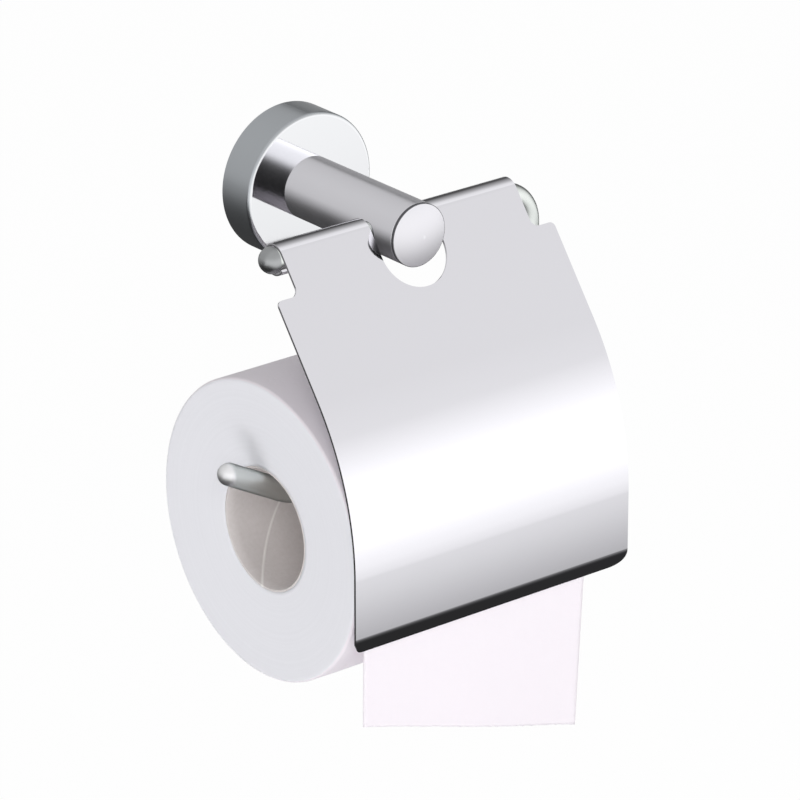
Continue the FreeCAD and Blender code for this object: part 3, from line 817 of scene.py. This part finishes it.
@dataclass
class PaperRoll:
    """The roll: wound paper, its board core and the free end that hangs from it."""

    board: float = 0.8
    board_edge: float = 0.2
    board_steps: int = 24
    board_turns: int = 128
    wound_gap: float = 0.05
    rim_round: float = 1.3
    rim_steps: int = 6
    ring_spacing: float = 1.25
    ring_relief: float = 0.012
    outside_steps: int = 16
    sag: float = 0.15
    sag_width: float = 22.0
    end_slope: float = 0.8
    turns: int = 160
    seed: int = 7
    tail_width: float = 97.9
    tail_thickness: float = 0.35
    tail_clearance: float = 0.3
    tail_setback: float = 111.5
    tail_leave_angle: float = 10.5
    tail_turn_angle: float = 16.0
    tail_left_drop: float = 155.2
    tail_right_drop: float = 183.6
    tail_right_taper: float = 2.4
    tail_taper_from: float = 125.0
    tail_ripple: float = 0.9
    tail_ripple_angle: float = 7.5
    tail_ripple_start: float = 0.6
    tail_hold: float = 128.0
    tail_fray: float = 0.35
    tail_fray_count: float = 70.0
    tail_steps: tuple[int, int] = (64, 72)

    def __post_init__(self) -> None:
        """Read the roll's place and size from the frame."""
        low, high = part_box("paper_roll")
        core_low, core_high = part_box("cardboard_core")
        self.left, self.right = low.x / MM, high.x / MM
        self.core_left = core_low.x / MM
        self.tail_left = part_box("paper_tail")[0].x / MM
        self.axis = Vector((0, (low.y + high.y) / 2, (low.z + high.z) / 2)) / MM
        self.radius = (high.z - low.z) / 2 / MM
        self.core_outer = (core_high.z - core_low.z) / 2 / MM

    def rim(self, shaper: Shaper, x: float, radius: float) -> None:
        """Draw on to a point at a distance from the roll's axis, straight above it."""
        shaper.line(x, self.axis.y, self.axis.z + radius)

    def paper(self) -> None:
        """Wind the paper: ends of slightly uneven plies, the left one dished, and a soft outside."""
        chance = random.Random(self.seed)
        bore = self.core_outer + self.wound_gap
        depth = self.radius - self.rim_round - bore
        count = round(depth / self.ring_spacing)
        rings = [bore + depth * index / count for index in range(count + 1)]
        shaper = Shaper().start(self.core_left, self.axis.y, self.axis.z + rings[0])
        for index, ring in enumerate(rings[1:], start=1):
            dish = (self.core_left - self.left) * (1 - index / count)
            self.rim(shaper, self.left + dish + chance.uniform(0, self.ring_relief), ring)
        across = self.right - self.left - 2 * self.rim_round
        left_centre = self.axis + Vector((self.left + self.rim_round, 0, rings[-1]))
        shaper.arc(left_centre, AXIS_Y, 90, self.rim_steps)
        for index in range(1, self.outside_steps + 1):
            x = self.left + self.rim_round + across * index / self.outside_steps
            self.rim(shaper, x, self.radius)
        right_centre = self.axis + Vector((self.right - self.rim_round, 0, rings[-1]))
        shaper.arc(right_centre, AXIS_Y, 90, self.rim_steps)
        for ring in reversed(rings[:-1]):
            self.rim(shaper, self.right - chance.uniform(0, self.ring_relief), ring)
        self.rim(shaper, self.core_left, rings[0])
        shaper.turn(self.axis, AXIS_X, self.turns)
        for vert in shaper.mesh.verts:
            out = vert.co - Vector((vert.co.x, self.axis.y * MM, self.axis.z * MM))
            if out.length > (self.radius - self.rim_round) * MM:
                dent = 0.5 + 0.5 * noise.noise(vert.co / (self.sag_width * MM))
                vert.co -= out.normalized() * dent * self.sag * MM
        for face in shaper.mesh.faces:
            face.material_index = 1 if abs(face.normal.x) > self.end_slope else 0
        edge = WoundEdge(tuple(self.axis))
        roll = shaper.build("wound_paper", Tissue().material(), edge.material())
        fit(roll, Body.ROLL, Slot.TISSUE, "paper_roll")

    def core(self) -> None:
        """Make the board tube that the paper is wound on."""
        left, right = self.core_left, self.right
        inner, outer = self.core_outer - self.board, self.core_outer
        edge = self.board_edge
        shaper = Shaper().start(left + edge, self.axis.y, self.axis.z + inner)
        for x, radius in (
            (left, inner + edge), (left, outer), (right, outer), (right, inner + edge), (right - edge, inner),
        ):
            self.rim(shaper, x, radius)
        for index in range(1, self.board_steps + 1):
            inwards = (right - left - 2 * edge) * index / self.board_steps
            self.rim(shaper, right - edge - inwards, inner)
        shaper.turn(self.axis, AXIS_X, self.board_turns)
        core = shaper.build("board_core", CoreBoard(tuple(self.axis)).material())
        fit(core, Body.ROLL, Slot.BOARD, "cardboard_core")

    def hang(self, across: float, fallen: float) -> Vector:
        """Return where a point of the free end hangs.

        Args:
            across: From 0 at the left edge to 1 at the right.
            fallen: From 0 where the sheet leaves the roll to 1 at its torn end.

        Returns:
            The point, in millimetres.
        """
        reach = self.radius + self.tail_clearance + self.tail_thickness / 2
        leave = math.radians(self.tail_leave_angle)
        turn = math.radians(self.tail_turn_angle)
        top = self.axis.z - reach * math.sin(leave)
        bottom = -self.tail_left_drop - (self.tail_right_drop - self.tail_left_drop) * across
        z = top + (bottom - top) * fallen
        if math.isclose(fallen, 1.0, abs_tol=0.001):
            z += self.tail_fray * noise.noise(Vector((across * self.tail_fray_count, 0, 0)))
        angle = math.asin(min(1.0, (self.axis.z - z) / reach))
        if angle <= turn:
            y = self.axis.y - reach * math.cos(angle)
        else:
            drop = self.axis.z - reach * math.sin(turn) - z
            start = self.axis.y - reach * math.cos(turn)
            inward = -self.tail_setback - start
            y = start + inward * (1 - math.exp(-drop * math.tan(turn) / inward))
        free = max(0.0, -z - self.tail_hold) / (self.tail_right_drop - self.tail_hold)
        y += self.tail_ripple * free * math.sin(across * self.tail_ripple_angle + self.tail_ripple_start)
        tapered = max(0.0, -z - self.tail_taper_from) / (self.tail_right_drop - self.tail_taper_from)
        taper = self.tail_right_taper * tapered
        x = self.tail_left + (self.tail_width - taper) * across
        return Vector((x, y, z))

    def tail(self) -> None:
        """Hang the free end of the paper from the roll."""
        shaper = Shaper()
        across, down = self.tail_steps
        bmesh.ops.create_grid(shaper.mesh, x_segments=across, y_segments=down, size=0.5)
        for vert in shaper.mesh.verts:
            vert.co = self.hang(vert.co.x + 0.5, 0.5 - vert.co.y) * MM
        shaper.mesh.normal_update()
        tail = shaper.build("hanging_sheet", Tissue(name="tissue_sheet").material())
        ply = tail.modifiers.new("plies", "SOLIDIFY")
        ply.thickness = self.tail_thickness * MM
        ply.offset = 0.0
        fit(tail, Body.HOLDER, Slot.TISSUE, "paper_tail")
        tail.visible_glossy = False

    def build(self) -> None:
        """Make every piece of the roll."""
        self.paper()
        self.core()
        self.tail()


@dataclass
class Hardware:
    """The metal and nylon pieces whose CAD shape is already right."""

    screws: tuple[str, ...] = (
        "escutcheon_set_screw", "post_bolt", "post_washer", "post_spring_washer",
        "post_locating_pin", "arm_lock_screw",
    )
    sleeves: tuple[str, ...] = ("cover_sleeve_left", "cover_sleeve_right")
    unmirrored: tuple[str, ...] = ("escutcheon", "wall_bracket", "arm_rod", "arm_end_knob")
    rounded_tip_mm: float = 3.4

    def dress(self) -> None:
        """Finish every piece, and keep all but the post out of the mirrors behind them."""
        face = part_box("escutcheon")[0].y / MM
        dress("escutcheon", DrawnChrome(face).material())
        dress("post", ChromePlate("brushed_chrome", "EAE9EE", roughness=0.3, haze=0.04).material())
        dress("post_end_cap", DomeChrome(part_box("post_end_cap")[1].x / MM).material())
        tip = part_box("arm_rod")[0].x / MM + self.rounded_tip_mm
        dress("arm_rod", RodChrome(tip_mm=tip).material())
        # The knob is chrome; its dark grey colour is painted shade
        dress("arm_end_knob", ChromePlate("knob_chrome_painted_shade", "A9ABAC", roughness=0.36).material())
        screw = PlatedSteel("screw_steel", "B4B6B8").material()
        for node in self.screws:
            dress(node, screw)
        dress("wall_bracket", PlatedSteel("bracket_steel", "C3C6C8").material())
        nylon = MouldedNylon().material()
        for node in self.sleeves:
            dress(node, nylon)
        for node in self.unmirrored + self.screws + self.sleeves:
            frame["nodes"][node].visible_glossy = False


@dataclass(frozen=True)
class Lamp:
    """One large soft lamp that faces the object, in metres and watts."""

    name: str
    place: tuple[float, float, float]
    size: float
    watts: float

    def hang(self, aim: Vector) -> None:
        """Hang the lamp, aimed at a point, where neither the camera nor a mirror sees it."""
        light = bpy.data.lights.new(self.name, "AREA")
        light.shape = "DISK"
        light.size = self.size
        light.energy = self.watts
        lamp = bpy.data.objects.new(self.name, light)
        lamp.location = self.place
        lamp.rotation_mode = "QUATERNION"
        lamp.rotation_quaternion = (aim - lamp.location).to_track_quat("-Z", "Y")
        lamp.visible_glossy = False
        lamp.visible_camera = False
        bpy.context.scene.collection.objects.link(lamp)


@dataclass
class Ground:
    """What lies under the object: a pale floor, and above it a black flag that only mirrors see.

    The flag's front edge fades out slowly along Y, so the polished pieces go from black to white over
    it. Behind the object it is as wide as the floor and goes from black to grey, and a strip to the
    right of the object stays black. Spans are in metres.
    """

    size: float = 14.0
    floor_below: float = 0.34
    floor_colour: str = "F4F4F5"
    floor_white: float = 0.975
    floor_mirrored: float = 1.25
    floor_mirrored_again: float = 0.02
    flag_below: float = 0.068
    front_span: Span = (-0.72, -0.22)
    front_stops: Stops = (
        (0.0, 0.0), (0.31, 0.08), (0.51, 0.14), (0.64, 0.23), (0.7, 0.36), (0.78, 0.62), (0.84, 0.84),
        (0.92, 0.95), (1.0, 0.985),
    )
    side_span: Span = (0.5, 0.7)
    behind_span: Span = (0.02, 0.15)
    back_span: Span = (0.0, 3.0)
    back_stops: Stops = (
        (0.0, 0.008), (0.015, 0.015), (0.07, 0.035), (0.12, 0.085), (0.16, 0.19), (0.24, 0.38), (1.0, 0.6),
    )
    strip_span: Span = (0.0, 1.2)
    strip_stops: Stops = ((0.06, 1.0), (0.19, 0.0), (0.6, 0.0), (0.78, 1.0))
    strip_colour: str = "1A1A1C"

    def plane(self, name: str, material: bpy.types.Material, height: float) -> bpy.types.Object:
        """Lay a large square at a height."""
        shaper = Shaper()
        bmesh.ops.create_grid(shaper.mesh, x_segments=1, y_segments=1, size=self.size / 2)
        bmesh.ops.translate(shaper.mesh, verts=shaper.mesh.verts, vec=(0, 0, height))
        return shaper.build(name, material)

    def floor(self, lowest: float) -> None:
        """Lay a plain pale floor well below the object, bright in mirrors and dark in mirrored mirrors."""
        material, tree = new_material("studio_floor")
        rays = add_node(tree, "LightPath")
        pale = add_node(tree, "BsdfDiffuse", {"Color": linear(self.floor_colour)})
        white = add_node(tree, "Emission", {"Color": WHITE, "Strength": 1.0})
        glow = add_node(tree, "MapRange", {
            "Value": rays.outputs["Glossy Depth"], "From Min": 1.0, "From Max": 2.0,
            "To Min": self.floor_mirrored, "To Max": self.floor_mirrored_again,
        })
        bright = add_node(tree, "Emission", {"Color": WHITE, "Strength": glow.outputs["Result"]})
        share = add_node(tree, "Math", {
            0: rays.outputs["Is Camera Ray"], 1: self.floor_white,
        }, operation="MULTIPLY")
        mixed = add_node(tree, "MixShader", {
            0: share.outputs["Value"], 1: pale.outputs["BSDF"], 2: white.outputs["Emission"],
        })
        shown = add_node(tree, "MixShader", {
            0: rays.outputs["Is Glossy Ray"], 1: mixed.outputs["Shader"], 2: bright.outputs["Emission"],
        })
        add_node(tree, "OutputMaterial", {"Surface": shown.outputs["Shader"]})
        floor = self.plane("floor", material, lowest - self.floor_below)
        floor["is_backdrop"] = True

    def flag(self, lowest: float) -> None:
        """Lay the flag under and behind the object."""
        material, tree = new_material("studio_flag")
        place = add_node(tree, "TexCoord").outputs["Object"]
        x, y, _ = add_node(tree, "SeparateXYZ", {"Vector": place}).outputs
        front = grey_ramp(tree, y, self.front_span, self.front_stops)
        sideways = add_node(tree, "Math", {0: x}, operation="ABSOLUTE")
        side = add_node(tree, "MapRange", {
            "Value": sideways.outputs["Value"], **span(self.side_span), "To Min": 1.0, "To Max": 0.0,
        }, **SMOOTH)
        behind = add_node(tree, "MapRange", {"Value": y, **span(self.behind_span)}, **SMOOTH)
        width = add_node(tree, "Math", {
            0: side.outputs["Result"], 1: behind.outputs["Result"],
        }, operation="MAXIMUM")
        share = add_node(tree, "Math", {0: front, 1: width.outputs["Value"]}, operation="MULTIPLY")
        beyond = grey_ramp(tree, y, self.back_span, self.back_stops)
        beside = grey_ramp(tree, x, self.strip_span, self.strip_stops)
        tone = add_node(tree, "Mix", {0: beside, 6: linear(self.strip_colour), 7: beyond}, data_type="RGBA")
        clear = add_node(tree, "BsdfTransparent")
        black = add_node(tree, "Emission", {"Color": tone.outputs[2], "Strength": 1.0})
        mixed = add_node(tree, "MixShader", {
            0: share.outputs["Value"], 1: clear.outputs["BSDF"], 2: black.outputs["Emission"],
        })
        add_node(tree, "OutputMaterial", {"Surface": mixed.outputs["Shader"]})
        flag = self.plane("flag", material, lowest - self.flag_below)
        for rays in ("camera", "diffuse", "shadow", "transmission"):
            setattr(flag, f"visible_{rays}", False)
        flag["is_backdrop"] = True


@dataclass
class Surroundings:
    """The world: a soft white studio whose back is grey. Spans are parts of a direction's length.

    The cover mirrors one narrow strip of it, which darkens towards the back. What a mirrored piece
    mirrors in turn, a second bounce, is dark on the left and bright on the right.
    """

    all_round: Span = (-1.0, 1.0)
    front_stops: Stops = ((0.3, 0.95), (0.46, 1.0), (0.58, 1.0), (0.7, 0.72), (0.85, 0.66), (1.0, 0.66))
    back_stops: Stops = (
        (0.15, 0.52), (0.3, 0.55), (0.5, 0.53), (0.7, 0.49), (0.76, 0.44), (0.82, 0.32), (0.85, 0.2),
    )
    back_span: Span = (-0.1, 0.35)
    strip_x: float = 0.579
    strip_edge: Span = (0.02, 0.05)
    strip_start: Span = (-0.3, -0.2)
    strip_span: Span = (-0.3, 0.7)
    strip_stops: Stops = (
        (0.0, 0.8), (0.095, 0.78), (0.274, 0.73), (0.39, 0.64), (0.508, 0.5), (0.631, 0.38),
        (0.753, 0.28), (0.872, 0.19), (0.985, 0.07),
    )
    mirrored: float = 1.25
    mirrored_again: Span = (0.02, 2.0)
    again_span: Span = (-0.4, -0.08)
    ambient: float = 0.5

    def build(self) -> None:
        """Put the world round the object."""
        world = bpy.data.worlds.new("studio")
        world.use_nodes = True
        bpy.context.scene.world = world
        tree = world.node_tree
        tree.nodes.clear()
        rays = add_node(tree, "LightPath")
        place = add_node(tree, "TexCoord").outputs["Generated"]
        x, y, z = add_node(tree, "SeparateXYZ", {"Vector": place}).outputs
        front = grey_ramp(tree, z, self.all_round, self.front_stops)
        back = grey_ramp(tree, x, self.all_round, self.back_stops)
        behind = add_node(tree, "MapRange", {"Value": y, **span(self.back_span)}, **SMOOTH)
        around = add_node(tree, "Mix", {0: behind.outputs["Result"], 6: front, 7: back}, data_type="RGBA")
        strip = grey_ramp(tree, y, self.strip_span, self.strip_stops)
        apart = add_node(tree, "Math", {0: x, 1: self.strip_x}, operation="SUBTRACT")
        offset = add_node(tree, "Math", {0: apart.outputs["Value"]}, operation="ABSOLUTE")
        narrow = add_node(tree, "MapRange", {
            "Value": offset.outputs["Value"], **span(self.strip_edge), "To Min": 1.0, "To Max": 0.0,
        }, **SMOOTH)
        rear = add_node(tree, "MapRange", {"Value": y, **span(self.strip_start)}, **SMOOTH)
        share = add_node(tree, "Math", {
            0: narrow.outputs["Result"], 1: rear.outputs["Result"],
        }, operation="MULTIPLY")
        seen = add_node(tree, "Mix", {
            0: share.outputs["Value"], 6: around.outputs[2], 7: strip,
        }, data_type="RGBA")
        left, right = self.mirrored_again
        twice = add_node(tree, "MapRange", {
            "Value": x, **span(self.again_span), "To Min": left, "To Max": right,
        }, **SMOOTH)
        again = add_node(tree, "Math", {0: rays.outputs["Glossy Depth"], 1: 1.5}, operation="GREATER_THAN")
        strength = add_node(tree, "Mix", {
            0: again.outputs["Value"], 2: self.mirrored, 3: twice.outputs["Result"],
        }, data_type="FLOAT")
        reflected = add_node(tree, "Background", {
            "Color": seen.outputs[2], "Strength": strength.outputs[0],
        })
        ambient = add_node(tree, "Background", {"Color": WHITE, "Strength": self.ambient})
        lit = add_node(tree, "MixShader", {
            0: rays.outputs["Is Glossy Ray"], 1: ambient.outputs["Background"],
            2: reflected.outputs["Background"],
        })
        white = add_node(tree, "Background", {"Color": WHITE, "Strength": 1.0})
        shown = add_node(tree, "MixShader", {
            0: rays.outputs["Is Camera Ray"], 1: lit.outputs["Shader"], 2: white.outputs["Background"],
        })
        add_node(tree, "OutputWorld", {"Surface": shown.outputs["Shader"]})


@dataclass
class Studio:
    """Camera, world, floor and lamps."""

    azimuth: float = -38.88
    elevation: float = 22.65
    distance: float = 1.9213
    lens: float = 252.0
    aim_mm: tuple[float, float, float] = (-7.3, -73.6, -59.1)
    lamps: tuple[Lamp, ...] = (
        Lamp("key", (-0.85, -0.45, -0.6), 0.7, 5.2),
        Lamp("fill", (-1.2, -1.5, 0.8), 1.0, 11.0),
        Lamp("front", (0.5, -1.4, 0.4), 1.2, 6.5),
        Lamp("side", (1.1, -0.03, -0.2), 0.6, 2.4),
    )

    def camera(self, aim: Vector) -> None:
        """Set the camera where the object is seen from its front left, a little above."""
        azimuth, elevation = math.radians(self.azimuth), math.radians(self.elevation)
        back = Vector((
            math.sin(azimuth) * math.cos(elevation),
            -math.cos(azimuth) * math.cos(elevation),
            math.sin(elevation),
        ))
        lens = bpy.data.cameras.new("camera")
        lens.lens = self.lens
        camera = bpy.data.objects.new("camera", lens)
        camera.location = aim + back * self.distance
        camera.rotation_mode = "QUATERNION"
        camera.rotation_quaternion = (-back).to_track_quat("-Z", "Y")
        bpy.context.scene.collection.objects.link(camera)
        bpy.context.scene.camera = camera

    def build(self) -> None:
        """Set the whole studio up."""
        aim = Vector(self.aim_mm) * MM
        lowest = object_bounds()[0].z
        ground = Ground()
        self.camera(aim)
        Surroundings().build()
        ground.floor(lowest)
        ground.flag(lowest)
        for lamp in self.lamps:
            lamp.hang(aim)
        bpy.context.scene.view_settings.view_transform = "Standard"


def main() -> None:
    """Build every sub-assembly in order."""
    logging.basicConfig(level=logging.INFO, format="%(name)s: %(message)s")
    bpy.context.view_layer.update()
    Hardware().dress()
    Cover().build(ChromePlate().material())
    PaperRoll().build()
    Studio().build()


if __name__ == "__main__":
    main()
